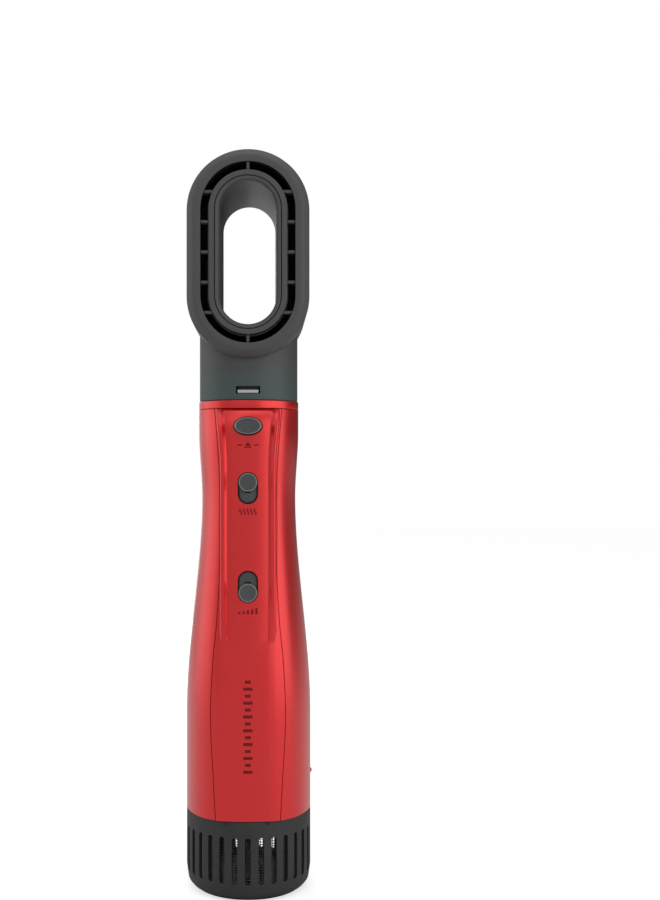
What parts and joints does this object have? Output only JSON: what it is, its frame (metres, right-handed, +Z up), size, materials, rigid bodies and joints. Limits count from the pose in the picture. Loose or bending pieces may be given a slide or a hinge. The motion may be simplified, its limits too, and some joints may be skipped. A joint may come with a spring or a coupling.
{
  "type": "hot-air hair styler with loop drying head",
  "caption": "Hand-held hot-air styler: waisted red handle with sliding switches and release buttons, and a detachable grey loop head that blows air from a narrow ring around its hole.",
  "frame": {"origin": "centre of the cord inlet's mouth in the flat base, which is also the handle's axis", "axes": "+Z up the handle towards the loop, -Y out of the loop's air outlet (front), +X to the right seen from the front"},
  "size_m": [0.0576, 0.0627, 0.3327],
  "materials": {
    "red_shell": "red metallic lacquer on moulded ABS, satin, slightly pearly",
    "head_shell": "neutral dark grey moulded PA66, fine satin spark texture",
    "neck_shell": "dark teal-grey moulded plastic, satin",
    "outlet_black": "black glass-filled heat-resistant plastic, matt",
    "chassis_black": "black moulded plastic",
    "rubber": "soft black rubber, matt",
    "button_grey": "dark grey moulded plastic, satin",
    "button_black": "near-black moulded plastic, satin",
    "knob_grey": "grey moulded plastic with a smooth turned rim",
    "filter_plastic": "dark grey moulded plastic, fine texture",
    "stainless_mesh": "woven stainless wire",
    "latch_steel": "stamped stainless strip, brushed",
    "spring_steel": "drawn spring wire",
    "screw_steel": "zinc-plated steel",
    "circuit_board": "green solder mask on glass-epoxy board",
    "mica": "pressed mica sheet, pale tan with flakes",
    "heating_wire": "nickel-chrome wire, heat-tinted",
    "sensor_metal": "drawn metal cans",
    "motor_alloy": "machined aluminium alloy, satin",
    "motor_steel": "ground and laminated steel",
    "magnet": "nickel-plated magnet sleeve",
    "copper": "enamelled copper wire",
    "lead_insulation": "silicone-insulated lead"
  },
  "bodies": {
    "handle": {"main_shell": "red_shell", "front_cover": "red_shell", "top_collar": "red_shell", "coupling_spigot": "chassis_black", "coupling_seal": "rubber", "air_tube": "outlet_black", "outlet_guard": "outlet_black", "heat_switch_well": "chassis_black", "speed_switch_well": "chassis_black", "control_board": "circuit_board", "heat_switch": "chassis_black", "speed_switch": "chassis_black", "board_screws": "screw_steel", "heater_sleeve": "mica", "heater_frame": "mica", "heater_coil": "heating_wire", "thermostat": "sensor_metal", "thermal_fuse": "sensor_metal", "air_duct": "chassis_black", "motor_mounts": "rubber", "motor_shroud": "motor_alloy", "motor_stator": "motor_steel", "motor_windings": "copper", "motor_bearings": "motor_steel", "motor_board": "circuit_board", "mains_leads": "lead_insulation", "intake_frame": "chassis_black", "base_plate": "chassis_black", "base_screws": "screw_steel", "cord_bush": "rubber", "front_spring": "spring_steel", "rear_spring": "spring_steel"},
    "fan": {"impeller": "motor_alloy", "motor_shaft": "motor_steel", "motor_rotor": "magnet"},
    "head": {"head_housing": "head_shell", "head_core": "head_shell", "head_liner": "head_shell", "outlet_ribs": "head_shell", "head_rear_cover": "head_shell", "neck_sleeve": "neck_shell"},
    "front_release": {"front_button": "button_grey", "front_latch": "latch_steel"},
    "rear_release": {"rear_button": "button_black", "rear_latch": "latch_steel"},
    "heat_slider": {"heat_knob": "knob_grey", "heat_shutter": "chassis_black"},
    "speed_slider": {"speed_knob": "knob_grey", "speed_shutter": "chassis_black"},
    "filter": {"filter_cover": "filter_plastic", "filter_mesh": "stainless_mesh"}
  },
  "joints": [
    {"name": "head_lift", "type": "slide", "parent": "handle", "child": "head", "axis": [0, 0, 1], "range_m": [0, 0.02], "deforming": ["front_latch", "rear_latch"]},
    {"name": "front_press", "type": "slide", "parent": "handle", "child": "front_release", "axis": [0, 1, 0], "range_m": [0, 0.0022], "stiffness_N_per_m": 900, "springref_m": -0.001, "deforming": ["front_spring"]},
    {"name": "rear_press", "type": "slide", "parent": "handle", "child": "rear_release", "axis": [0, -1, 0], "range_m": [0, 0.0022], "stiffness_N_per_m": 900, "springref_m": -0.001, "deforming": ["rear_spring"]},
    {"name": "heat_slide", "type": "slide", "parent": "handle", "child": "heat_slider", "axis": [0, 0, -1], "range_m": [0, 0.0052]},
    {"name": "speed_slide", "type": "slide", "parent": "handle", "child": "speed_slider", "axis": [0, 0, 1], "range_m": [0, 0.0052]},
    {"name": "fan_spin", "type": "hinge", "parent": "handle", "child": "fan", "pos_m": [0, 0, 0.07], "axis": [0, 0, 1], "continuous": true},
    {"name": "filter_pull", "type": "slide", "parent": "handle", "child": "filter", "axis": [0, 0, -1], "range_m": [0, 0.034]}
  ]
}
